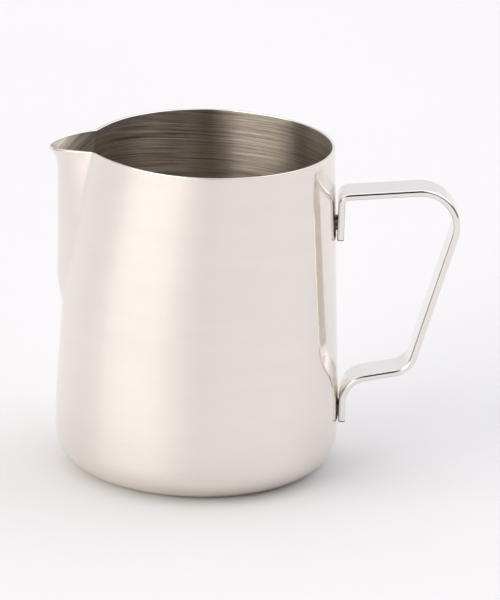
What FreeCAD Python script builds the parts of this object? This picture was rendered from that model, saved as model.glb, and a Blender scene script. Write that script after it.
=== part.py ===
import FreeCAD, Part
import math
import os
import Sketcher

# A steel milk frothing pitcher: one deep-drawn cup with a pressed pouring spout, and one bent
# strip handle that is spot-welded to the cup's back.
# Frame: origin on the cup's axis in the plane it rests on, +Z up, the handle towards +X and the
# spout towards -X, with the XZ plane as the plane of symmetry. Millimetres and degrees.

DIMENSIONS = [
    # the cup
    ("cup_height", 107.3),        # resting plane to the rim
    ("rim_radius", 41.95),        # outside, at the rim
    ("wall_angle", 2.7),          # the upper wall's lean inwards
    ("belly_radius", 46.0),       # outside, where the cup is widest
    ("belly_curve", 218.0),       # upright radius of the wall round the belly
    ("base_corner", 11.7),        # upright radius between wall and base
    ("sheet_thickness", 0.9),
    ("rim_rounding", 0.25),
    # the spout
    ("spout_foot_height", 53.1),  # where the pressed channel starts
    ("spout_end_length", 11.0),   # height over which its blunt lower end fades in
    ("spout_ridge_radius", 46.15),  # the ridge's distance from the axis
    ("spout_ridge_lean", 0.9),    # what the ridge gains by the rim
    ("ridge_lean_power", 3.0),    # how late it gains it
    ("spout_half_angle", 21.2),   # from the ridge to the crease, about the axis, at the rim
    ("spout_ridge_softness", 0.32),
    ("spout_crease_softness", 0.08),
    ("neck_pull", 4.4),           # how far the rim beside the spout is drawn in
    ("neck_pull_power", 1.5),     # how late the pull sets in on the way up
    ("neck_start_angle", 25.0),   # the pull is whole up to here, from the ridge
    ("neck_end_angle", 102.0),    # and gone from here on
    ("lip_flare", 2.9),           # how far the lip turns out at the tip
    ("lip_flare_height", 6.0),
    ("lip_flare_power", 2.5),     # how sharply it turns out
    ("lip_drop", 2.8),            # how far the tip lies below the rim
    ("lip_drop_start", 25.0),     # distance from the axis at which the lip starts to drop
    ("lip_drop_curve", 111.0),    # radius of the drooping line, seen from the side
    ("lip_trim_reach", 58.0),     # the trimming pad ends beyond the lip, this far from the axis
    # the handle
    ("strip_width", 13.2),
    ("strip_thickness", 2.25),
    ("strip_edge", 0.85),         # rounding of the strip's long edges
    ("upper_foot_gap", 43.5),     # the foot's inner face to the cup's axis
    ("lower_foot_gap", 46.05),
    ("upper_foot_end", 77.3),
    ("lower_foot_end", 15.9),
    ("grip_top_height", 91.75),   # the sharp corners of the strip's centre line
    ("grip_reach", 85.85),
    ("grip_reach_height", 95.35),
    ("grip_heel", 68.45),
    ("grip_heel_height", 33.95),
    ("grip_bottom_height", 29.7),
    ("upper_foot_bend", 2.5),     # centre line bend radii
    ("grip_bend", 11.5),
    ("heel_bend", 7.5),
    ("lower_foot_bend", 8.6),
    # the spot welds
    ("weld_diameter", 3.2),
    ("weld_spacing", 6.4),
    ("upper_weld_inset", 0.85),   # from the foot's inner face to the nugget's end in the wall
    ("lower_weld_inset", 0.65),
    ("weld_depth_in_foot", 0.8),
    ("upper_weld_height", 81.8),
    ("lower_weld_height", 19.1),
]

# Rings of the cup's upper wall: angles from the spout's direction in degrees, and the shares of
# each stretch of its height at which a ring is placed.
FINE_ANGLE_STEP = 2.0
FINE_ANGLE_END = 30.0
COARSE_ANGLE_STEP = 7.5
SPOUT_END_SHARES = (0.0, 0.15, 0.4, 0.7, 1.0)
CHANNEL_SHARES = (0.2, 0.4, 0.6, 0.8, 1.0)
LIP_SHARES = (0.25, 0.5, 0.7, 0.85, 1.0)
TANGENT_STEP = 0.05
RIM_TOLERANCE = 0.01

doc = FreeCAD.newDocument("frothing_pitcher")
sheet = doc.addObject("Spreadsheet::Sheet", "dims")
for row, (alias, value) in enumerate(DIMENSIONS, start=1):
    sheet.set("A%d" % row, alias)
    sheet.set("B%d" % row, str(value))
    sheet.setAlias("B%d" % row, alias)
doc.recompute()


def cell(alias):
    """A driving dimension as a plain number."""
    return float(getattr(sheet, alias))


# ---------------------------------------------------------------- sketch helpers

def origin_plane(body, role):
    return next(f for f in body.Origin.OriginFeatures if f.Role == role)


def new_sketch(body, name, role, height=None):
    """A sketch on one of the body's own origin planes, raised by an expression if one is given."""
    sketch = body.newObject("Sketcher::SketchObject", name)
    sketch.AttachmentSupport = [(origin_plane(body, role), "")]
    sketch.MapMode = "FlatFace"
    if height:
        sketch.setExpression("AttachmentOffset.Base.z", height)
    return sketch


def bind(sketch, index, name, expression):
    """Name a sketch constraint and drive it from the sheet."""
    sketch.renameConstraint(index, name)
    sketch.setExpression("Constraints." + name, expression)


def place_point(sketch, geometry, vertex, name, across, up):
    """Drive one sketch point's two coordinates, each from an expression and its present value."""
    for axis, (expression, value) in (("X", across), ("Y", up)):
        if expression is None:
            continue
        index = sketch.addConstraint(
            Sketcher.Constraint("Distance" + axis, -1, 1, geometry, vertex, value))
        bind(sketch, index, name + "_" + axis.lower(), expression)


def vector(x, y):
    return FreeCAD.Vector(x, y, 0)


def fillet_points(before, corner, after, radius):
    """Tangent points and centre of the arc that rounds a corner."""
    leg_in = (before - corner).normalize()
    leg_out = (after - corner).normalize()
    half = math.acos(max(-1.0, min(1.0, leg_in.dot(leg_out)))) / 2.0
    start = corner + leg_in * (radius / math.tan(half))
    end = corner + leg_out * (radius / math.tan(half))
    centre = corner + (leg_in + leg_out).normalize() * (radius / math.sin(half))
    return start, end, centre


def arc_between(start, end, centre):
    """The shorter arc about centre from start to end, and whether it runs anticlockwise."""
    first = math.atan2(start.y - centre.y, start.x - centre.x)
    last = math.atan2(end.y - centre.y, end.x - centre.x)
    turn = (last - first + math.pi) % (2.0 * math.pi) - math.pi
    circle = Part.Circle(centre, FreeCAD.Vector(0, 0, 1), (start - centre).Length)
    if turn > 0:
        return Part.ArcOfCircle(circle, first, first + turn), True
    return Part.ArcOfCircle(circle, last, last - turn), False


# ---------------------------------------------------------------- the cup, below the spout

def cone_radius(height):
    """Outside radius of the plain cup wall at a height above the belly."""
    return cell("rim_radius") + (cell("cup_height") - height) * math.tan(math.radians(cell("wall_angle")))


def cup_profile(sketch, inset):
    """Half section of the cup up to the spout's foot, inset from the outside by a wall or by nothing."""
    wall = cell("sheet_thickness") if inset else 0.0
    lean = math.radians(cell("wall_angle"))
    foot = cell("spout_foot_height")
    top = vector(cone_radius(foot) - wall / math.cos(lean), foot)
    belly = cell("belly_curve") - wall
    corner = cell("base_corner") - wall
    belly_x = cell("belly_radius") - cell("belly_curve")
    belly_end_x = belly_x + belly * math.cos(lean)
    belly_end = vector(belly_end_x, foot - (belly_end_x - top.x) / math.tan(lean))
    belly_centre = vector(belly_x, belly_end.y - belly * math.sin(lean))
    rise = cell("base_corner") - belly_centre.y
    run = math.sqrt((cell("belly_curve") - cell("base_corner")) ** 2 - rise ** 2)
    corner_centre = vector(belly_x + run, cell("base_corner"))
    outward = (corner_centre - belly_centre).normalize()
    join = corner_centre + outward * corner
    flat_end = vector(corner_centre.x, wall)
    floor = sketch.addGeometry(Part.LineSegment(vector(0, wall), flat_end))
    corner_arc = sketch.addGeometry(arc_between(flat_end, join, corner_centre)[0])
    belly_arc = sketch.addGeometry(arc_between(join, belly_end, belly_centre)[0])
    wall_line = sketch.addGeometry(Part.LineSegment(belly_end, top))
    lid = sketch.addGeometry(Part.LineSegment(top, vector(0, foot)))
    axis_line = sketch.addGeometry(Part.LineSegment(vector(0, foot), vector(0, wall)))
    sketch.addConstraint(Sketcher.Constraint("Tangent", floor, 2, corner_arc, 1))
    sketch.addConstraint(Sketcher.Constraint("Tangent", corner_arc, 2, belly_arc, 1))
    sketch.addConstraint(Sketcher.Constraint("Tangent", belly_arc, 2, wall_line, 1))
    sketch.addConstraint(Sketcher.Constraint("Coincident", wall_line, 2, lid, 1))
    sketch.addConstraint(Sketcher.Constraint("Coincident", lid, 2, axis_line, 1))
    sketch.addConstraint(Sketcher.Constraint("Coincident", axis_line, 2, floor, 1))
    sketch.addConstraint(Sketcher.Constraint("Horizontal", floor))
    sketch.addConstraint(Sketcher.Constraint("Horizontal", lid))
    sketch.addConstraint(Sketcher.Constraint("PointOnObject", lid, 2, -2))
    thickness = "dims.sheet_thickness" if inset else "0"
    if inset:
        place_point(sketch, floor, 1, "floor", (None, 0), (thickness, wall))
        sketch.addConstraint(Sketcher.Constraint("PointOnObject", floor, 1, -2))
    else:
        sketch.addConstraint(Sketcher.Constraint("Coincident", floor, 1, -1, 1))
    place_point(sketch, belly_arc, 3, "belly_centre",
                ("dims.belly_radius - dims.belly_curve", belly_centre.x), (None, 0))
    index = sketch.addConstraint(Sketcher.Constraint("Radius", corner_arc, corner))
    bind(sketch, index, "corner_radius", "dims.base_corner - " + thickness)
    index = sketch.addConstraint(Sketcher.Constraint("Radius", belly_arc, belly))
    bind(sketch, index, "belly_curve", "dims.belly_curve - " + thickness)
    place_point(sketch, wall_line, 2, "wall_top",
                ("dims.rim_radius + (dims.cup_height - dims.spout_foot_height) * tan(dims.wall_angle * 1deg)"
                 " - " + thickness + " / cos(dims.wall_angle * 1deg)", top.x),
                ("dims.spout_foot_height", top.y))


def make_cup_base():
    """The turned lower part of the cup: a solid of revolution, hollowed by a groove."""
    body = doc.addObject("PartDesign::Body", "cup_base")
    outside = new_sketch(body, "cup_outside", "XZ_Plane")
    cup_profile(outside, inset=False)
    solid = body.newObject("PartDesign::Revolution", "cup_solid")
    solid.Profile = outside
    solid.ReferenceAxis = (outside, ["V_Axis"])
    solid.Angle = 360.0
    doc.recompute()
    inside = new_sketch(body, "cup_inside", "XZ_Plane")
    cup_profile(inside, inset=True)
    hollow = body.newObject("PartDesign::Groove", "cup_hollow")
    hollow.Profile = inside
    hollow.ReferenceAxis = (inside, ["V_Axis"])
    hollow.Angle = 360.0
    doc.recompute()
    return body


# ---------------------------------------------------------------- the cup, at the spout

def spout_strength(height):
    """0 at the spout's foot, 1 at the rim."""
    foot = cell("spout_foot_height")
    return max(0.0, (height - foot) / (cell("cup_height") - foot))


def ridge_radius(height):
    """The spout ridge's distance from the axis: nearly upright, with a blunt lower end."""
    strength = spout_strength(height)
    full = cell("spout_ridge_radius") + cell("spout_ridge_lean") * strength ** cell("ridge_lean_power")
    below = 1.0 - (height - cell("spout_foot_height")) / cell("spout_end_length")
    if below <= 0.0:
        return full
    return full - (full - cone_radius(height)) * below ** 2


def tent(fraction):
    """1 on the ridge, falling along a straight flank to 0 past the crease, both softly rounded."""
    soft = cell("spout_ridge_softness")
    left = 1.0 - (math.hypot(fraction, soft) - soft) / (math.hypot(1.0, soft) - soft)
    return 0.5 * (left + math.hypot(left, cell("spout_crease_softness")))


def lip_flare(angle, height):
    """How far the lip is turned out near its edge; the edge itself drops towards the tip."""
    window = 1.0 - (angle / cell("spout_half_angle")) ** 2
    if window <= 0.0:
        return 0.0
    edge = cell("cup_height") - cell("lip_drop") * window ** 3
    share = 1.0 - (edge - height) / cell("lip_flare_height")
    return cell("lip_flare") * max(0.0, share) ** cell("lip_flare_power") * window


def wall_radius(angle, height):
    """Outside radius at an angle from the spout's direction, in degrees, and a height."""
    strength = spout_strength(height)
    start = cell("neck_start_angle")
    end = cell("neck_end_angle")
    part = min(1.0, max(0.0, (angle - start) / (end - start)))
    pull = cell("neck_pull") * strength ** cell("neck_pull_power")
    radius = cone_radius(height) - pull * (0.5 + 0.5 * math.cos(math.pi * part))
    half = cell("spout_half_angle") * math.sqrt(max(0.0, 1.0 - (1.0 - strength) ** 2))
    if half > 0.0:
        stand = ridge_radius(height) - (cone_radius(height) - pull)
        radius += stand * tent(angle / half)
    return radius + lip_flare(angle, height)


def ring_angles():
    """Angles from the spout's direction round a whole ring, close together at the spout."""
    one_side = []
    angle = 0.0
    while angle < 180.0:
        one_side.append(angle)
        angle += FINE_ANGLE_STEP if angle < FINE_ANGLE_END else COARSE_ANGLE_STEP
    return one_side + [180.0] + [-angle for angle in reversed(one_side[1:])]


def ring_point(angle, height):
    radius = wall_radius(abs(angle), height)
    turn = math.radians(180.0 - angle)
    return FreeCAD.Vector(radius * math.cos(turn), radius * math.sin(turn), height)


def ring_wire(height, inset):
    """One closed horizontal ring of the wall, set in along its own normal."""
    points = []
    for angle in ring_angles():
        point = ring_point(angle, height)
        along = ring_point(angle + TANGENT_STEP, height) - ring_point(angle - TANGENT_STEP, height)
        normal = FreeCAD.Vector(along.y, -along.x, 0).normalize()
        if normal.dot(point) < 0:
            normal = normal * -1.0
        points.append(point - normal * inset)
    curve = Part.BSplineCurve()
    curve.interpolate(Points=points, PeriodicFlag=True)
    return Part.Wire([curve.toShape()])


def ring_heights():
    """Heights of the rings: close together at the spout's blunt end and under the flared lip."""
    foot = cell("spout_foot_height")
    rim = cell("cup_height")
    end = cell("spout_end_length")
    flare_foot = rim - cell("lip_drop") - cell("lip_flare_height")
    lower = [foot + end * share for share in SPOUT_END_SHARES]
    middle = [foot + end + (flare_foot - foot - end) * share for share in CHANNEL_SHARES]
    upper = [flare_foot + (rim - flare_foot) * share for share in LIP_SHARES]
    return lower + middle + upper


def make_cup_collar():
    """The pressed upper part of the cup, with the spout: a shell between two lofts."""
    lean = math.cos(math.radians(cell("wall_angle")))
    skins = []
    for inset in (0.0, cell("sheet_thickness") / lean):
        rings = [ring_wire(height, inset) for height in ring_heights()]
        skins.append(Part.makeLoft(rings, True, False))
    collar = doc.addObject("Part::Feature", "cup_collar")
    collar.Shape = skins[0].cut(skins[1])
    return collar


def lip_line_height(distance):
    """Height of the rim's top face at a distance from the axis towards the spout."""
    past = max(0.0, distance - cell("lip_drop_start"))
    curve = cell("lip_drop_curve")
    return cell("cup_height") - curve + math.sqrt(curve ** 2 - past ** 2)


def make_lip_trim():
    """The air above the drooping lip: a pad across the spout's tip, with a curved underside."""
    body = doc.addObject("PartDesign::Body", "lip_trim")
    sketch = new_sketch(body, "lip_line", "XZ_Plane")
    rim = cell("cup_height")
    start = vector(-cell("lip_drop_start"), rim)
    far_x = -cell("lip_trim_reach")
    end = vector(far_x, lip_line_height(-far_x))
    above = vector(far_x, rim + cell("lip_drop"))
    centre = vector(start.x, rim - cell("lip_drop_curve"))
    curve = sketch.addGeometry(arc_between(start, end, centre)[0])
    outer = sketch.addGeometry(Part.LineSegment(end, above))
    top = sketch.addGeometry(Part.LineSegment(above, vector(start.x, above.y)))
    inner = sketch.addGeometry(Part.LineSegment(vector(start.x, above.y), start))
    for first, second in ((curve, outer), (outer, top), (top, inner), (inner, curve)):
        sketch.addConstraint(Sketcher.Constraint("Coincident", first, 2, second, 1))
    sketch.addConstraint(Sketcher.Constraint("Vertical", outer))
    sketch.addConstraint(Sketcher.Constraint("Horizontal", top))
    sketch.addConstraint(Sketcher.Constraint("Vertical", inner))
    index = sketch.addConstraint(Sketcher.Constraint("Radius", curve, cell("lip_drop_curve")))
    bind(sketch, index, "lip_drop_curve", "dims.lip_drop_curve")
    place_point(sketch, curve, 3, "curve_centre",
                ("-dims.lip_drop_start", centre.x), ("dims.cup_height - dims.lip_drop_curve", centre.y))
    place_point(sketch, outer, 1, "outer", ("-dims.lip_trim_reach", far_x), (None, 0))
    place_point(sketch, top, 1, "top", (None, 0), ("dims.cup_height + dims.lip_drop", above.y))
    pad = body.newObject("PartDesign::Pad", "lip_wedge")
    pad.Profile = sketch
    pad.Midplane = True
    pad.setExpression("Length", "2 * dims.rim_radius")
    doc.recompute()
    return body


def make_vessel(weld_tools):
    """The cup: base and collar joined, the lip trimmed and its edge rounded, the weld seats cut."""
    base = make_cup_base()
    collar = make_cup_collar()
    joined = doc.addObject("Part::Fuse", "cup_joined")
    joined.Base = base
    joined.Tool = collar
    trimmed = doc.addObject("Part::Cut", "cup_trimmed")
    trimmed.Base = joined
    trimmed.Tool = make_lip_trim()
    doc.recompute()
    rounded = doc.addObject("Part::Fillet", "cup_rounded")
    rounded.Base = trimmed
    rim_edges = []
    for number, edge in enumerate(trimmed.Shape.Edges, start=1):
        if runs_along_rim(edge):
            rim_edges.append((number, cell("rim_rounding"), cell("rim_rounding")))
    rounded.Edges = rim_edges
    doc.recompute()
    previous = rounded
    for tool in weld_tools:
        seat = doc.addObject("Part::Cut", "cup_seat")
        seat.Base = previous
        seat.Tool = tool
        previous = seat
    previous.Label = "vessel"
    doc.recompute()
    return previous


def runs_along_rim(edge):
    """True for an edge that lies in the rim's top face rather than running down the wall."""
    return all(abs(point.z - lip_line_height(-point.x)) < RIM_TOLERANCE for point in edge.discretize(5))


# ---------------------------------------------------------------- the handle

GRIP_CORNERS = [
    # name, x expression, height expression, bend
    ("upper_foot", "dims.upper_foot_gap + dims.strip_thickness / 2", "dims.grip_top_height",
     "upper_foot_bend"),
    ("reach", "dims.grip_reach", "dims.grip_reach_height", "grip_bend"),
    ("heel", "dims.grip_heel", "dims.grip_heel_height", "heel_bend"),
    ("lower_foot", "dims.lower_foot_gap + dims.strip_thickness / 2", "dims.grip_bottom_height",
     "lower_foot_bend"),
]


def make_strip():
    """The handle before welding: a rounded strip section swept along its bent centre line."""
    body = doc.addObject("PartDesign::Body", "strip")
    path = new_sketch(body, "strip_path", "XZ_Plane")
    half = cell("strip_thickness") / 2.0
    upper_x = cell("upper_foot_gap") + half
    lower_x = cell("lower_foot_gap") + half
    start = vector(upper_x, cell("upper_foot_end"))
    end = vector(lower_x, cell("lower_foot_end"))
    corners = [
        vector(upper_x, cell("grip_top_height")),
        vector(cell("grip_reach"), cell("grip_reach_height")),
        vector(cell("grip_heel"), cell("grip_heel_height")),
        vector(lower_x, cell("grip_bottom_height")),
    ]
    stops = [start] + corners + [end]
    previous = start
    pieces = []
    for position, corner in enumerate(corners, start=1):
        radius = cell(GRIP_CORNERS[position - 1][3])
        first, last, centre = fillet_points(stops[position - 1], corner, stops[position + 1], radius)
        line = path.addGeometry(Part.LineSegment(previous, first))
        arc_shape, forward = arc_between(first, last, centre)
        arc = path.addGeometry(arc_shape)
        pieces.append((line, arc, forward, radius))
        previous = last
    last_line = path.addGeometry(Part.LineSegment(previous, end))
    runs = [piece[0] for piece in pieces] + [last_line]
    for position, (line, arc, forward, radius) in enumerate(pieces):
        entry, leave = (1, 2) if forward else (2, 1)
        path.addConstraint(Sketcher.Constraint("Tangent", line, 2, arc, entry))
        path.addConstraint(Sketcher.Constraint("Tangent", arc, leave, runs[position + 1], 1))
        name, across, up, bend = GRIP_CORNERS[position]
        index = path.addConstraint(Sketcher.Constraint("Radius", arc, radius))
        bind(path, index, bend, "dims." + bend)
        corner = corners[position]
        point = path.addGeometry(Part.Point(corner), True)
        path.addConstraint(Sketcher.Constraint("PointOnObject", point, 1, line))
        path.addConstraint(Sketcher.Constraint("PointOnObject", point, 1, runs[position + 1]))
        place_point(path, point, 1, name, (across, corner.x), (up, corner.y))
    path.addConstraint(Sketcher.Constraint("Vertical", runs[0]))
    path.addConstraint(Sketcher.Constraint("Vertical", last_line))
    place_point(path, runs[0], 1, "start", (None, 0), ("dims.upper_foot_end", start.y))
    place_point(path, last_line, 2, "finish", (None, 0), ("dims.lower_foot_end", end.y))

    section = new_sketch(body, "strip_section", "XY_Plane", "dims.upper_foot_end")
    width = cell("strip_width")
    edge = cell("strip_edge")
    outline = [
        vector(upper_x - half, -width / 2),
        vector(upper_x + half, -width / 2),
        vector(upper_x + half, width / 2),
        vector(upper_x - half, width / 2),
    ]
    sides = []
    arcs = []
    for number in range(4):
        here = outline[number]
        after = outline[(number + 1) % 4]
        across = (after - here).normalize() * edge
        sides.append(section.addGeometry(Part.LineSegment(here + across, after - across)))
    for number in range(4):
        corner = outline[(number + 1) % 4]
        first, last, centre = fillet_points(outline[number], corner, outline[(number + 2) % 4], edge)
        arcs.append(section.addGeometry(arc_between(first, last, centre)[0]))
    for number in range(4):
        section.addConstraint(Sketcher.Constraint("Tangent", sides[number], 2, arcs[number], 1))
        section.addConstraint(Sketcher.Constraint("Tangent", arcs[number], 2, sides[(number + 1) % 4], 1))
        orientation = "Horizontal" if number % 2 == 0 else "Vertical"
        section.addConstraint(Sketcher.Constraint(orientation, sides[number]))
    for number in range(1, 4):
        section.addConstraint(Sketcher.Constraint("Equal", arcs[0], arcs[number]))
    index = section.addConstraint(Sketcher.Constraint("Radius", arcs[0], edge))
    bind(section, index, "edge", "dims.strip_edge")
    place_point(section, sides[0], 1, "near", ("dims.upper_foot_gap + dims.strip_edge", outline[0].x + edge),
                ("-dims.strip_width / 2", -width / 2))
    place_point(section, sides[2], 1, "far",
                ("dims.upper_foot_gap + dims.strip_thickness - dims.strip_edge", outline[1].x - edge),
                ("dims.strip_width / 2", width / 2))
    pipe = body.newObject("PartDesign::AdditivePipe", "strip_sweep")
    pipe.Profile = section
    pipe.Spine = path
    doc.recompute()
    return body


def make_handle(weld_tools):
    """The strip handle with the seats that its weld nuggets fill."""
    previous = make_strip()
    for tool in weld_tools:
        seat = doc.addObject("Part::Cut", "handle_seat")
        seat.Base = previous
        seat.Tool = tool
        previous = seat
    previous.Label = "handle"
    doc.recompute()
    return previous


# ---------------------------------------------------------------- the spot welds

def make_weld_pair(foot):
    """Two weld nuggets side by side, each from inside the wall to inside the handle's foot."""
    nuggets = []
    for side, sign in (("near", "-"), ("far", "")):
        nugget = doc.addObject("Part::Cylinder", "%s_nugget_%s" % (foot, side))
        nugget.Placement = FreeCAD.Placement(FreeCAD.Vector(0, 0, 0),
                                             FreeCAD.Rotation(FreeCAD.Vector(0, 1, 0), 90))
        nugget.setExpression("Radius", "dims.weld_diameter / 2")
        nugget.setExpression("Height", "dims.%s_weld_inset + dims.weld_depth_in_foot" % foot)
        nugget.setExpression("Placement.Base.x", "dims.%s_foot_gap - dims.%s_weld_inset" % (foot, foot))
        nugget.setExpression("Placement.Base.y", sign + "dims.weld_spacing / 2")
        nugget.setExpression("Placement.Base.z", "dims.%s_weld_height" % foot)
        nuggets.append(nugget)
    pair = doc.addObject("Part::Compound", "%s_weld_nuggets" % foot)
    pair.Links = nuggets
    doc.recompute()
    return pair


# ---------------------------------------------------------------- the assembly

upper_welds = make_weld_pair("upper")
lower_welds = make_weld_pair("lower")
vessel = make_vessel([upper_welds, lower_welds])
handle = make_handle([upper_welds, lower_welds])
doc.recompute()

PARTS = [vessel, handle, upper_welds, lower_welds]
for item in doc.Objects:
    if "Invalid" in item.State or "Error" in item.State:
        raise RuntimeError("%s did not recompute: %s" % (item.Name, item.State))
for item in PARTS:
    if item.Shape.isNull() or not item.Shape.isValid():
        raise RuntimeError("%s has no valid shape" % item.Label)

os.makedirs("parts", exist_ok=True)
for item in PARTS:
    item.Shape.exportStep("parts/%s.step" % item.Label)
    box = item.Shape.BoundBox
    print("%-20s solids %d  volume %.1f mm3  x %.2f..%.2f  y %.2f..%.2f  z %.2f..%.2f" % (
        item.Label, len(item.Shape.Solids), item.Shape.Volume,
        box.XMin, box.XMax, box.YMin, box.YMax, box.ZMin, box.ZMax))
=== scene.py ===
import bpy
import math
from mathutils import Matrix, Vector


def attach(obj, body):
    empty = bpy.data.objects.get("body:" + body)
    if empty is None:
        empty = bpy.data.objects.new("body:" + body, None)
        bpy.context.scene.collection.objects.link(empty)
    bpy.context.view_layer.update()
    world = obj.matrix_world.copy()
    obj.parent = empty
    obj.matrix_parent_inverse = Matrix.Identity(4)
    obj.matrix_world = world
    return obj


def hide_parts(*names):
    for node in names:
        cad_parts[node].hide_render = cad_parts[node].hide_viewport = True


# A steel milk frothing pitcher in a plain studio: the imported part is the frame, the cup and the
# strip handle get smooth meshes of the same shape, and every surface its own steel.

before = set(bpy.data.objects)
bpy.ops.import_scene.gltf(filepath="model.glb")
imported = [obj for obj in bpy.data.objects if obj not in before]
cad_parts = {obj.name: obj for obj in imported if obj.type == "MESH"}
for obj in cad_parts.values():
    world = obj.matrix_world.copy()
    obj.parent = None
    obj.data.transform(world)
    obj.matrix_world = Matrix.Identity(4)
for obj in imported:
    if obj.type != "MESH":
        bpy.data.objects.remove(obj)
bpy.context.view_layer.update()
MM = 0.001

# ---------------------------------------------------------------- the part's own sizes, in mm
# The belly, the lip's flare and the grip's reach are 0.005 to 0.03 mm under the part's own, so that
# these finer meshes stay within its box.

CUP_HEIGHT = 107.3
RIM_RADIUS = 41.95
WALL_ANGLE = math.radians(2.7)
BELLY_RADIUS = 45.995
BELLY_CURVE = 218.0
BASE_CORNER = 11.7
SHEET = 0.9
RIM_ROUNDING = 0.25
SPOUT_FOOT = 53.1
SPOUT_END = 11.0
RIDGE_RADIUS = 46.15
RIDGE_LEAN = 0.9
SPOUT_HALF = 21.2
RIDGE_SOFTNESS = 0.32
CREASE_SOFTNESS = 0.08
NECK_PULL = 4.4
NECK_START = 25.0
NECK_END = 102.0
LIP_FLARE = 2.87
LIP_FLARE_HEIGHT = 6.0
LIP_DROP = 2.8
LIP_DROP_START = 25.0
LIP_DROP_CURVE = 111.0
# How late in the wall's height, or how sharply round the spout, each of these sets in.
RIDGE_LEAN_POWER = 3
SPOUT_END_POWER = 2
NECK_PULL_POWER = 1.5
LIP_DROP_POWER = 3
LIP_FLARE_POWER = 2.5

STRIP_WIDTH = 13.2
STRIP_THICKNESS = 2.25
STRIP_EDGE = 0.85
STRIP_END = 0.45
# Centre line of the strip: (x, z) of each sharp corner and its bend radius; the ends have none.
STRIP_ROUTE = [
    (44.625, 77.3, 0.0),
    (44.625, 91.75, 2.5),
    (85.845, 95.35, 11.5),
    (68.45, 33.95, 7.5),
    (47.175, 29.7, 8.6),
    (47.175, 15.9, 0.0),
]

# ---------------------------------------------------------------- how fine the meshes are
# Steps round the cup, in degrees: fine ones at the spout, coarser ones to the back.
FINE_STEP = 0.4
FINE_COUNT = 75
COARSE_STEP = 1.25
FLOOR_SHARES = (0.0, 0.06, 0.2, 0.4, 0.6, 0.8, 0.92)
CORNER_ROWS = 22
BELLY_ROWS = 16
WALL_ROWS = 14
UPPER_ROWS = 64
UPPER_CROWDING = 0.75
RIM_ROWS = 12
RIM_FULLNESS = 0.75
STRAIGHT_SHARES = (0.0, 0.02, 0.1, 0.3, 0.5, 0.7, 0.9, 0.98)
BEND_STEP = 2.5
BEND_LEAST = 6
EDGE_STEPS = 8
END_STEPS = 5


# ---------------------------------------------------------------- the cup's shape

def cone_radius(z):
    return RIM_RADIUS + (CUP_HEIGHT - z) * math.tan(WALL_ANGLE)


def tent(fraction):
    """The spout's section: 1 on the ridge, straight flanks, and 0 beyond the soft crease."""
    soft = RIDGE_SOFTNESS
    left = 1.0 - (math.hypot(fraction, soft) - soft) / (math.hypot(1.0, soft) - soft)
    return 0.5 * (left + math.hypot(left, CREASE_SOFTNESS))


def upper_radius(angle, z):
    """Outside radius of the pressed upper wall; angle in degrees from the spout's direction."""
    angle = abs(angle)
    strength = max(0.0, (z - SPOUT_FOOT) / (CUP_HEIGHT - SPOUT_FOOT))
    cone = cone_radius(z)
    ridge = RIDGE_RADIUS + RIDGE_LEAN * strength ** RIDGE_LEAN_POWER
    below = 1.0 - (z - SPOUT_FOOT) / SPOUT_END
    if below > 0.0:
        ridge -= (ridge - cone) * below ** SPOUT_END_POWER
    pull = NECK_PULL * strength ** NECK_PULL_POWER
    part = min(1.0, max(0.0, (angle - NECK_START) / (NECK_END - NECK_START)))
    radius = cone - pull * (0.5 + 0.5 * math.cos(math.pi * part))
    half = SPOUT_HALF * math.sqrt(max(0.0, 1.0 - (1.0 - strength) ** 2))
    if half > 0.0:
        radius += (ridge - cone + pull) * tent(angle / half)
    window = 1.0 - (angle / SPOUT_HALF) ** 2
    if window > 0.0:
        edge = CUP_HEIGHT - LIP_DROP * window ** LIP_DROP_POWER
        share = 1.0 - (edge - z) / LIP_FLARE_HEIGHT
        radius += LIP_FLARE * max(0.0, share) ** LIP_FLARE_POWER * window
    return radius


def edge_height(angle):
    """Height of the rim's top at an angle from the spout's direction."""
    z = CUP_HEIGHT
    for _ in range(4):
        reach = upper_radius(angle, z) * math.cos(math.radians(angle))
        past = max(0.0, reach - LIP_DROP_START)
        z = CUP_HEIGHT - LIP_DROP_CURVE + math.sqrt(LIP_DROP_CURVE ** 2 - past ** 2)
    return z


def lower_profile(inset):
    """(radius, z) points of the turned lower cup, from the base's middle up to the spout's foot."""
    belly_x = BELLY_RADIUS - BELLY_CURVE
    top_x = cone_radius(SPOUT_FOOT)
    end_x = belly_x + BELLY_CURVE * math.cos(WALL_ANGLE)
    end_z = SPOUT_FOOT - (end_x - top_x) / math.tan(WALL_ANGLE)
    centre_z = end_z - BELLY_CURVE * math.sin(WALL_ANGLE)
    rise = BASE_CORNER - centre_z
    corner_x = belly_x + math.sqrt((BELLY_CURVE - BASE_CORNER) ** 2 - rise ** 2)
    join = math.atan2(rise, corner_x - belly_x)
    points = [(corner_x * share, inset) for share in FLOOR_SHARES]
    for step in range(CORNER_ROWS):
        turn = -math.pi / 2 + (join + math.pi / 2) * step / CORNER_ROWS
        radius = BASE_CORNER - inset
        points.append((corner_x + radius * math.cos(turn), BASE_CORNER + radius * math.sin(turn)))
    for step in range(BELLY_ROWS):
        turn = join + (WALL_ANGLE - join) * step / BELLY_ROWS
        radius = BELLY_CURVE - inset
        points.append((belly_x + radius * math.cos(turn), centre_z + radius * math.sin(turn)))
    offset = inset / math.cos(WALL_ANGLE)
    for step in range(WALL_ROWS):
        z = end_z + (SPOUT_FOOT - end_z) * step / WALL_ROWS
        points.append((cone_radius(z) - offset, z))
    return points


def ring_angles():
    """Angles round the cup from the spout's direction, close together at the spout."""
    side = [FINE_STEP * step for step in range(FINE_COUNT)]
    angle = FINE_STEP * FINE_COUNT
    while angle < 180.0 - COARSE_STEP / 2.0:
        side.append(angle)
        angle += COARSE_STEP
    return side + [180.0] + [-value for value in reversed(side[1:])]


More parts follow.
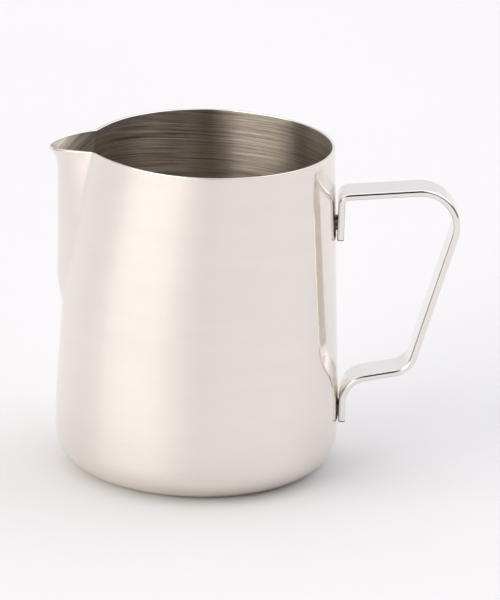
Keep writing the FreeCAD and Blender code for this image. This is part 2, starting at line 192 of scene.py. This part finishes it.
def upper_point(angle, z):
    radius = upper_radius(angle, z)
    turn = math.radians(180.0 - angle)
    return Vector((radius * math.cos(turn), radius * math.sin(turn), z))


def upper_normal(angle, z):
    """Outward normal of the upper wall, from small steps along and up the surface."""
    step = 0.05
    along = upper_point(angle + step, z) - upper_point(angle - step, z)
    up = upper_point(angle, z + step) - upper_point(angle, z - step)
    normal = up.cross(along).normalized()
    if normal.xy.dot(upper_point(angle, z).xy) < 0.0:
        normal.negate()
    return normal


def upper_shares():
    """Shares of the upper wall's height: close together at the spout's end and under the lip."""
    shares = []
    for row in range(UPPER_ROWS + 1):
        flat = row / UPPER_ROWS
        shares.append(flat - UPPER_CROWDING * math.sin(2.0 * math.pi * flat) / (2.0 * math.pi))
    return shares


def turned_ring(radius, z, angles):
    """One ring of the turned lower cup."""
    turns = [math.radians(angle) for angle in angles]
    return [Vector((-radius * math.cos(turn), radius * math.sin(turn), z)) for turn in turns]


MATERIAL_ORDER = ("outside", "inside", "rim")


def make_cup():
    """The cup as one closed skin: outside from the base's middle, over the rim, and down inside."""
    angles = ring_angles()
    rows = []
    regions = []
    for radius, z in lower_profile(0.0):
        rows.append(turned_ring(radius, z, angles))
        regions.append("outside")
    tops = [edge_height(a) - RIM_ROUNDING for a in angles]
    for share in upper_shares():
        rows.append([upper_point(a, SPOUT_FOOT + (top - SPOUT_FOOT) * share)
                     for a, top in zip(angles, tops)])
        regions.append("outside")
    rim_outer = rows[-1]
    rim_inner = [point - upper_normal(a, top) * SHEET
                 for a, top, point in zip(angles, tops, rim_outer)]
    for step in range(1, RIM_ROWS):
        turn = math.pi * step / RIM_ROWS
        across = 0.5 - 0.5 * math.copysign(abs(math.cos(turn)) ** RIM_FULLNESS, math.cos(turn))
        rise = RIM_ROUNDING * math.sin(turn) ** RIM_FULLNESS
        rows.append([outer.lerp(inner, across) + Vector((0.0, 0.0, rise))
                     for outer, inner in zip(rim_outer, rim_inner)])
        regions.append("rim")
    for share in reversed(upper_shares()):
        ring = []
        for a, top in zip(angles, tops):
            z = SPOUT_FOOT + (top - SPOUT_FOOT) * share
            ring.append(upper_point(a, z) - upper_normal(a, z) * SHEET)
        rows.append(ring)
        regions.append("inside")
    for radius, z in reversed(lower_profile(SHEET)):
        rows.append(turned_ring(radius, z, angles))
        regions.append("inside")

    count = len(angles)
    vertices = []
    index = []
    for ring in rows:
        pole = ring[0].xy.length < 1e-6
        if pole:
            index.append([len(vertices)] * count)
            vertices.append(ring[0] * MM)
            continue
        index.append(list(range(len(vertices), len(vertices) + count)))
        vertices.extend(point * MM for point in ring)
    faces = []
    materials = []
    for row in range(len(rows) - 1):
        place = MATERIAL_ORDER.index(max(regions[row:row + 2], key=MATERIAL_ORDER.index))
        for column in range(count):
            beside = (column + 1) % count
            corners = [index[row][column], index[row][beside],
                       index[row + 1][beside], index[row + 1][column]]
            unique = []
            for corner in corners:
                if corner not in unique:
                    unique.append(corner)
            faces.append(unique)
            materials.append(place)
    mesh = bpy.data.meshes.new("cup_skin")
    mesh.from_pydata(vertices, [], faces)
    mesh.polygons.foreach_set("material_index", materials)
    mesh.polygons.foreach_set("use_smooth", [True] * len(faces))
    mesh.update()
    return mesh


# ---------------------------------------------------------------- the handle's shape

def strip_line():
    """Points of the bent centre line with their directions, as (x, z) vectors in mm."""
    route = [Vector((x, z)) for x, z, _ in STRIP_ROUTE]
    line = []

    def straight(start, end):
        length = (end - start).length
        direction = (end - start) / length
        for share in STRAIGHT_SHARES:
            line.append((start + direction * length * share, direction))

    previous = route[0]
    for number in range(1, len(route) - 1):
        before = (route[number - 1] - route[number]).normalized()
        after = (route[number + 1] - route[number]).normalized()
        half = math.acos(before.dot(after)) / 2.0
        radius = STRIP_ROUTE[number][2]
        first = route[number] + before * (radius / math.tan(half))
        centre = route[number] + (before + after).normalized() * (radius / math.sin(half))
        straight(previous, first)
        spoke = first - centre
        turn = math.pi - 2.0 * half
        if spoke.x * before.y - spoke.y * before.x > 0.0:
            turn = -turn
        steps = max(BEND_LEAST, int(abs(math.degrees(turn)) / BEND_STEP))
        for step in range(steps + 1):
            a = turn * step / steps
            arm = Vector((spoke.x * math.cos(a) - spoke.y * math.sin(a),
                          spoke.x * math.sin(a) + spoke.y * math.cos(a)))
            tangent = Vector((-before.x * math.cos(a) + before.y * math.sin(a),
                              -before.x * math.sin(a) - before.y * math.cos(a)))
            line.append((centre + arm, tangent))
        previous = line.pop()[0]
    straight(previous, route[-1])
    line.append((route[-1], (route[-1] - previous).normalized()))
    return line


def strip_section():
    """Rounded section as (across, along Y, normal across, normal along Y), in mm."""
    section = []
    wide = STRIP_WIDTH / 2.0 - STRIP_EDGE
    thick = STRIP_THICKNESS / 2.0 - STRIP_EDGE
    corners = ((1, -1, -90.0), (1, 1, 0.0), (-1, 1, 90.0), (-1, -1, 180.0))
    for sx, sy, begin in corners:
        for step in range(EDGE_STEPS + 1):
            a = math.radians(begin + 90.0 * step / EDGE_STEPS)
            across = sx * thick + STRIP_EDGE * math.cos(a)
            along = sy * wide + STRIP_EDGE * math.sin(a)
            section.append((across, along, math.cos(a), math.sin(a)))
    return section


def make_strip():
    """The handle: the section swept along the bent line, with softened ends."""
    line = strip_line()
    section = strip_section()
    rings = []
    begin, direction = line[0]
    for step in range(END_STEPS, 0, -1):
        turn = math.pi / 2 * step / END_STEPS
        rings.append((begin + direction * STRIP_END * (1.0 - math.sin(turn)), direction,
                      STRIP_END * (1.0 - math.cos(turn)), turn, -1.0))
    for number, (point, tangent) in enumerate(line):
        if number == 0:
            point = point + tangent * STRIP_END
        if number == len(line) - 1:
            point = point - tangent * STRIP_END
        rings.append((point, tangent, 0.0, 0.0, 0.0))
    finish, direction = line[-1]
    for step in range(1, END_STEPS + 1):
        turn = math.pi / 2 * step / END_STEPS
        rings.append((finish - direction * STRIP_END * (1.0 - math.sin(turn)), direction,
                      STRIP_END * (1.0 - math.cos(turn)), turn, 1.0))
    vertices = []
    normals = []
    count = len(section)
    for point, tangent, shrink, lean, sign in rings:
        across = Vector((-tangent.y, tangent.x))
        for sx, sy, nx, ny in section:
            px = sx - nx * shrink
            py = sy - ny * shrink
            vertices.append(Vector((point.x + across.x * px, py, point.y + across.y * px)) * MM)
            side = Vector((across.x * nx, ny, across.y * nx))
            end = Vector((tangent.x, 0.0, tangent.y)) * sign
            normals.append((side * math.cos(lean) + end * math.sin(lean)).normalized())
    faces = []
    for ring in range(len(rings) - 1):
        for place in range(count):
            beside = (place + 1) % count
            faces.append([ring * count + place, (ring + 1) * count + place,
                          (ring + 1) * count + beside, ring * count + beside])
    faces.append(list(range(count)))
    faces.append([len(rings) * count - 1 - place for place in range(count)])
    mesh = bpy.data.meshes.new("strip_skin")
    mesh.from_pydata(vertices, [], faces)
    mesh.polygons.foreach_set("use_smooth", [True] * len(faces))
    mesh.update()
    mesh.normals_split_custom_set_from_vertices(normals)
    return mesh


# ---------------------------------------------------------------- materials
# Each tint is a pair of colours. Noise values are stretched from between NOISE_LOW and NOISE_HIGH,
# where most of them lie.

NOISE_LOW = 0.3
NOISE_HIGH = 0.7
OUTSIDE_TINT = ((0.848, 0.795, 0.740), (0.872, 0.815, 0.760))
OUTSIDE_ROUGHNESS = (0.06, 0.42)
OUTSIDE_SPLIT = (0.83, 0.88)
OUTSIDE_RUBBING = 0.9
# The inside's two colours: the brushed rings' real tone, darkened as a whole as painted shade inside
# the cup.
INSIDE_RINGS_AND_SHADE = ((0.215, 0.19, 0.157), (0.84, 0.755, 0.65))
INSIDE_ROUGHNESS = (0.27, 0.46)
INSIDE_RUBBING = 0.92
INSIDE_CROWDING = 70.0
RIM_TINT = ((0.84, 0.80, 0.76), (0.87, 0.83, 0.79))
HANDLE_TINT = ((0.80, 0.775, 0.74), (0.83, 0.805, 0.77))
POLISH_ROUGHNESS = (0.04, 0.08)
WELD_TINT = ((0.14, 0.115, 0.095), (0.26, 0.23, 0.20))
WELD_ROUGHNESS = (0.3, 0.5)
FLOOR_TINT = ((0.805, 0.807, 0.81), (0.82, 0.822, 0.825))
# Stretches of the object coordinates along X, Y and Z: even, the formed metal's long waves, haze
# and rubbing marks that run round the axis, and a different value at every point.
EVEN = (1.0, 1.0, 1.0)
LONG = (1.0, 1.0, 0.6)
HAZE_BANDS = (1.0, 1.0, 6.0)
MARK_BANDS = (0.5, 0.5, 60.0)
GRAINS = (1e5, 1e5, 1e5)
MARKS_SHARE = 0.25
FINE_WAVES = 0.01 * MM
WAVES = 0.02 * MM


def new_material(name):
    material = bpy.data.materials.new(name)
    material.use_nodes = True
    tree = material.node_tree
    tree.nodes.clear()
    output = tree.nodes.new("ShaderNodeOutputMaterial")
    shader = tree.nodes.new("ShaderNodeBsdfPrincipled")
    tree.links.new(shader.outputs["BSDF"], output.inputs["Surface"])
    return material, tree, shader


def noise(tree, vector, scale, detail, roughness=0.5):
    node = tree.nodes.new("ShaderNodeTexNoise")
    node.inputs["Scale"].default_value = scale
    node.inputs["Detail"].default_value = detail
    node.inputs["Roughness"].default_value = roughness
    tree.links.new(vector, node.inputs["Vector"])
    return node.outputs["Fac"]


def mapped(tree, scale):
    """Object coordinates, stretched."""
    coords = tree.nodes.new("ShaderNodeTexCoord")
    mapping = tree.nodes.new("ShaderNodeMapping")
    mapping.inputs["Scale"].default_value = scale
    tree.links.new(coords.outputs["Object"], mapping.inputs["Vector"])
    return mapping.outputs["Vector"]


def spread(tree, value, limits, start=NOISE_LOW, end=NOISE_HIGH):
    """Map the stretch of a value from start to end onto a range."""
    node = tree.nodes.new("ShaderNodeMapRange")
    node.inputs["From Min"].default_value = start
    node.inputs["From Max"].default_value = end
    node.inputs["To Min"].default_value = limits[0]
    node.inputs["To Max"].default_value = limits[1]
    tree.links.new(value, node.inputs["Value"])
    return node.outputs["Result"]


def tint(tree, value, colours):
    """A blend of two colours, chosen by a noise value."""
    ramp = tree.nodes.new("ShaderNodeValToRGB")
    for element, place, colour in zip(ramp.color_ramp.elements, (NOISE_LOW, NOISE_HIGH), colours):
        element.position = place
        element.color = (*colour, 1.0)
    tree.links.new(value, ramp.inputs["Fac"])
    return ramp.outputs["Color"]


def bump(tree, height, distance):
    node = tree.nodes.new("ShaderNodeBump")
    node.inputs["Distance"].default_value = distance
    node.inputs["Strength"].default_value = 1.0
    tree.links.new(height, node.inputs["Height"])
    return node.outputs["Normal"]


def rub_along(tree, shader, amount):
    """Smear the gloss across rubbing marks that run round the cup's axis."""
    tangent = tree.nodes.new("ShaderNodeTangent")
    tangent.direction_type = "RADIAL"
    tangent.axis = "Z"
    tree.links.new(tangent.outputs["Tangent"], shader.inputs["Tangent"])
    shader.inputs["Anisotropic"].default_value = amount
    shader.inputs["Anisotropic Rotation"].default_value = 0.25


def polished_steel(name, colours, waves):
    """Mirror-polished sheet: faint haze patches, and the slight waviness of formed metal."""
    material, tree, shader = new_material(name)
    shader.inputs["Metallic"].default_value = 1.0
    haze = noise(tree, mapped(tree, EVEN), scale=60.0, detail=4.0)
    tree.links.new(tint(tree, haze, colours), shader.inputs["Base Color"])
    tree.links.new(spread(tree, haze, POLISH_ROUGHNESS), shader.inputs["Roughness"])
    ripple = noise(tree, mapped(tree, LONG), scale=22.0, detail=1.0)
    tree.links.new(bump(tree, ripple, waves), shader.inputs["Normal"])
    return material


def polished_outside(name):
    """The cup's outside: a mirror with very fine rubbing marks round the axis.

    Point by point it is either sharp or soft, so a sharp image and a wide sheen lie over each other.
    """
    material, tree, shader = new_material(name)
    shader.inputs["Metallic"].default_value = 1.0
    rub_along(tree, shader, OUTSIDE_RUBBING)
    marks = noise(tree, mapped(tree, MARK_BANDS), scale=60.0, detail=2.0)
    grain = tree.nodes.new("ShaderNodeTexWhiteNoise")
    tree.links.new(mapped(tree, GRAINS), grain.inputs["Vector"])
    total = tree.nodes.new("ShaderNodeMath")
    total.operation = "MULTIPLY_ADD"
    total.inputs[1].default_value = MARKS_SHARE
    tree.links.new(marks, total.inputs[0])
    tree.links.new(grain.outputs["Value"], total.inputs[2])
    mixed = spread(tree, total.outputs["Value"], OUTSIDE_ROUGHNESS, *OUTSIDE_SPLIT)
    tree.links.new(mixed, shader.inputs["Roughness"])
    haze = noise(tree, mapped(tree, HAZE_BANDS), scale=40.0, detail=3.0)
    tree.links.new(tint(tree, haze, OUTSIDE_TINT), shader.inputs["Base Color"])
    ripple = noise(tree, mapped(tree, LONG), scale=22.0, detail=1.0)
    tree.links.new(bump(tree, ripple, WAVES), shader.inputs["Normal"])
    return material


def ring_coordinates(tree, crowding):
    """Object coordinates that change fast up the wall and outwards on the floor, and slowly round."""
    coords = tree.nodes.new("ShaderNodeTexCoord")
    parts = tree.nodes.new("ShaderNodeSeparateXYZ")
    tree.links.new(coords.outputs["Object"], parts.inputs["Vector"])
    flat = tree.nodes.new("ShaderNodeVectorMath")
    flat.operation = "MULTIPLY"
    flat.inputs[1].default_value = (1.0, 1.0, 0.0)
    tree.links.new(coords.outputs["Object"], flat.inputs[0])
    reach = tree.nodes.new("ShaderNodeVectorMath")
    reach.operation = "LENGTH"
    tree.links.new(flat.outputs["Vector"], reach.inputs[0])
    along = tree.nodes.new("ShaderNodeMath")
    along.operation = "ADD"
    tree.links.new(parts.outputs["Z"], along.inputs[0])
    tree.links.new(reach.outputs["Value"], along.inputs[1])
    crowd = tree.nodes.new("ShaderNodeMath")
    crowd.operation = "MULTIPLY"
    crowd.inputs[1].default_value = crowding
    tree.links.new(along.outputs["Value"], crowd.inputs[0])
    joined = tree.nodes.new("ShaderNodeCombineXYZ")
    tree.links.new(parts.outputs["X"], joined.inputs["X"])
    tree.links.new(parts.outputs["Y"], joined.inputs["Y"])
    tree.links.new(crowd.outputs["Value"], joined.inputs["Z"])
    return joined.outputs["Vector"]


def brushed_inside_painted_shade(name):
    """The cup's inside, brushed round the axis: fine rings, and gloss smeared up and down. The rings'
    colour is also darkened as a whole, as painted shade inside the cup.
    """
    material, tree, shader = new_material(name)
    shader.inputs["Metallic"].default_value = 1.0
    rub_along(tree, shader, INSIDE_RUBBING)
    rings = noise(tree, ring_coordinates(tree, INSIDE_CROWDING), scale=30.0, detail=5.0, roughness=0.8)
    # Painted shade: the ring colours are set darker than the steel, standing in for the shade inside
    # the cup.
    tree.links.new(tint(tree, rings, INSIDE_RINGS_AND_SHADE), shader.inputs["Base Color"])
    tree.links.new(spread(tree, rings, INSIDE_ROUGHNESS), shader.inputs["Roughness"])
    tree.links.new(bump(tree, rings, FINE_WAVES), shader.inputs["Normal"])
    return material


def weld_steel(name):
    """Dull, heat-tinted metal of a spot weld."""
    material, tree, shader = new_material(name)
    shader.inputs["Metallic"].default_value = 1.0
    grain = noise(tree, mapped(tree, EVEN), scale=900.0, detail=3.0)
    tree.links.new(tint(tree, grain, WELD_TINT), shader.inputs["Base Color"])
    tree.links.new(spread(tree, grain, WELD_ROUGHNESS), shader.inputs["Roughness"])
    tree.links.new(bump(tree, grain, WAVES), shader.inputs["Normal"])
    return material


def floor_paint(name):
    material, tree, shader = new_material(name)
    shader.inputs["Roughness"].default_value = 0.9
    shader.inputs["Specular IOR Level"].default_value = 0.2
    mottle = noise(tree, mapped(tree, EVEN), scale=3.0, detail=2.0)
    tree.links.new(tint(tree, mottle, FLOOR_TINT), shader.inputs["Base Color"])
    return material


# ---------------------------------------------------------------- the pieces

def add_piece(name, mesh, node, materials):
    piece = bpy.data.objects.new(name, mesh)
    bpy.context.scene.collection.objects.link(piece)
    for material in materials:
        mesh.materials.append(material)
    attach(piece, "root")
    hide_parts(node)


# The cup's materials, in the order of MATERIAL_ORDER.
cup_steels = [
    polished_outside("vessel_polished"),
    brushed_inside_painted_shade("vessel_brushed_painted_shade"),
    polished_steel("rim_polished", RIM_TINT, FINE_WAVES),
]
strip_steel = polished_steel("handle_polished", HANDLE_TINT, WAVES)
add_piece("cup_skin", make_cup(), "vessel", cup_steels)
add_piece("strip_skin", make_strip(), "handle", [strip_steel])
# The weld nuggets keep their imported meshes.
weld = weld_steel("weld_metal")
for name in ("upper_weld_nuggets", "lower_weld_nuggets"):
    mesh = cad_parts[name].data
    mesh.materials.clear()
    mesh.materials.append(weld)

# ---------------------------------------------------------------- studio
# The steel mirrors a room with a bright ceiling, dull walls, a lighter wall behind the pitcher, one
# window at the front left in three patches (key, high and low), a softer light at the right, and a
# dim stretch in front. Sides are azimuths in radians, from the side the camera is on. Heights are
# sines of the elevation, and depths are how far a direction points along +Y. Each gives where a soft
# edge begins and ends.

ROOM_COLOUR = (0.985, 0.97, 1.0)
KEY_COLOUR = (1.0, 0.945, 0.875)
WALL_LEVEL = 0.18
CEILING_LEVEL = 1.26
CEILING_HEIGHTS = (0.25, 0.8)
BACK_LEVEL = 0.74
BACK_DEPTHS = (0.1, 0.7)
BACK_HEIGHTS = (0.5, 0.32)
KEY_LEVEL = 1.95
KEY_SIDES = (-1.9, -1.0, -0.52, -0.44)
KEY_HEIGHTS = (-0.02, 0.06, 0.25, 0.45)
HIGH_LEVEL = 3.1
HIGH_SIDES = (-1.56, -1.42, -0.52, -0.47)
HIGH_HEIGHTS = (0.12, 0.24, 0.45, 0.65)
SIDE_LEVEL = 0.8
SIDE_SIDES = (0.9, 1.4, 2.4, 2.8)
SIDE_HEIGHTS = (0.3, 0.5, 0.85, 0.95)
LOW_LEVEL = 3.1
LOW_SIDES = (-0.52, -0.47, -0.30, -0.04)
LOW_HEIGHTS = (-0.02, 0.02, 0.16, 0.26)
DIM_SIDES = (-0.52, -0.47, 0.1, 0.4)
DIM_HEIGHTS = (0.08, 0.16, 0.92, 0.98)
DIM_DEPTH = 0.95
FLOOR_REACH = 6.0
FLOOR_DROP = 0.02 * MM

corners = [(x * FLOOR_REACH, y * FLOOR_REACH, 0.0) for x, y in ((-1, -1), (1, -1), (1, 1), (-1, 1))]
floor_mesh = bpy.data.meshes.new("floor")
floor_mesh.from_pydata(corners, [], [(0, 1, 2, 3)])
floor = bpy.data.objects.new("floor", floor_mesh)
bpy.context.scene.collection.objects.link(floor)
floor_mesh.materials.append(floor_paint("floor_paint"))
# A hair lower than the base, so that the two flat faces don't coincide.
floor.location.z = -FLOOR_DROP

world = bpy.data.worlds.new("studio")
world.use_nodes = True
sky = world.node_tree
sky.nodes.clear()


def fade(value, begin, end):
    """0 up to begin and 1 from end on, softly between them; falling if end lies before begin."""
    node = sky.nodes.new("ShaderNodeMapRange")
    node.interpolation_type = "SMOOTHSTEP"
    node.inputs["From Min"].default_value = min(begin, end)
    node.inputs["From Max"].default_value = max(begin, end)
    node.inputs["To Min"].default_value = 0.0 if begin < end else 1.0
    node.inputs["To Max"].default_value = 1.0 if begin < end else 0.0
    sky.links.new(value, node.inputs["Value"])
    return node.outputs["Result"]


def combine(operation, first, second):
    node = sky.nodes.new("ShaderNodeMath")
    node.operation = operation
    for socket, term in zip(node.inputs, (first, second)):
        if isinstance(term, float):
            socket.default_value = term
        else:
            sky.links.new(term, socket)
    return node.outputs["Value"]


def window(azimuth, height, sides, levels):
    """A soft-edged patch of the room, between four azimuths and four heights."""
    across = combine("MULTIPLY", fade(azimuth, *sides[:2]), fade(azimuth, *sides[:1:-1]))
    upright = combine("MULTIPLY", fade(height, *levels[:2]), fade(height, *levels[:1:-1]))
    return combine("MULTIPLY", across, upright)


def glow(colour, strength):
    node = sky.nodes.new("ShaderNodeBackground")
    node.inputs["Color"].default_value = (*colour, 1.0)
    sky.links.new(strength, node.inputs["Strength"])
    return node.outputs["Background"]


direction = sky.nodes.new("ShaderNodeTexCoord").outputs["Generated"]
axes = sky.nodes.new("ShaderNodeSeparateXYZ")
sky.links.new(direction, axes.inputs["Vector"])
height = axes.outputs["Z"]
azimuth = combine("ARCTAN2", axes.outputs["X"], combine("MULTIPLY", axes.outputs["Y"], -1.0))
ceiling = combine("MULTIPLY", fade(height, *CEILING_HEIGHTS), CEILING_LEVEL - WALL_LEVEL)
behind = combine("MULTIPLY", fade(axes.outputs["Y"], *BACK_DEPTHS), fade(height, *BACK_HEIGHTS))
room = combine("ADD", ceiling, combine("MULTIPLY", behind, BACK_LEVEL))
side = combine("MULTIPLY", window(azimuth, height, SIDE_SIDES, SIDE_HEIGHTS), SIDE_LEVEL)
room = combine("ADD", room, combine("ADD", side, WALL_LEVEL))
dim = window(azimuth, height, DIM_SIDES, DIM_HEIGHTS)
room = combine("MULTIPLY", room, combine("SUBTRACT", 1.0, combine("MULTIPLY", dim, DIM_DEPTH)))
key = combine("MULTIPLY", window(azimuth, height, KEY_SIDES, KEY_HEIGHTS), KEY_LEVEL)
high = combine("MULTIPLY", window(azimuth, height, HIGH_SIDES, HIGH_HEIGHTS), HIGH_LEVEL)
low = combine("MULTIPLY", window(azimuth, height, LOW_SIDES, LOW_HEIGHTS), LOW_LEVEL)
key = combine("ADD", key, combine("ADD", high, low))
both = sky.nodes.new("ShaderNodeAddShader")
sky.links.new(glow(ROOM_COLOUR, room), both.inputs[0])
sky.links.new(glow(KEY_COLOUR, key), both.inputs[1])
world_output = sky.nodes.new("ShaderNodeOutputWorld")
sky.links.new(both.outputs["Shader"], world_output.inputs["Surface"])
bpy.context.scene.world = world
bpy.context.scene.view_settings.view_transform = "Standard"
bpy.context.scene.cycles.glossy_bounces = 12

# ---------------------------------------------------------------- camera
# It stands in front of the cup, handle to the right, at CAMERA_BACK and CAMERA_UP from the origin,
# and is carried round the axis by CAMERA_TURN. From there it is panned, dipped and rolled.

CAMERA_BACK = 1.232703
CAMERA_UP = 0.451074
CAMERA_TURN = math.radians(0.3)
CAMERA_PAN = math.radians(0.7571)
CAMERA_DIP = math.radians(17.8203)
CAMERA_ROLL = math.radians(1.8082)
SENSOR_WIDTH = 36.0
FOCAL_LENGTH = 240.0

data = bpy.data.cameras.new("camera")
data.sensor_width = SENSOR_WIDTH
data.lens = FOCAL_LENGTH
data.clip_start = 0.05
data.clip_end = 50.0
camera = bpy.data.objects.new("camera", data)
bpy.context.scene.collection.objects.link(camera)
place = Matrix.Translation((0.0, -CAMERA_BACK, CAMERA_UP))
turn = Matrix.Rotation(-CAMERA_TURN, 4, "Z")
pan = Matrix.Rotation(-CAMERA_PAN, 4, "Z")
dip = Matrix.Rotation(math.pi / 2.0 - CAMERA_DIP, 4, "X")
roll = Matrix.Rotation(CAMERA_ROLL, 4, "Z")
camera.matrix_world = turn @ place @ pan @ dip @ roll
bpy.context.scene.camera = camera
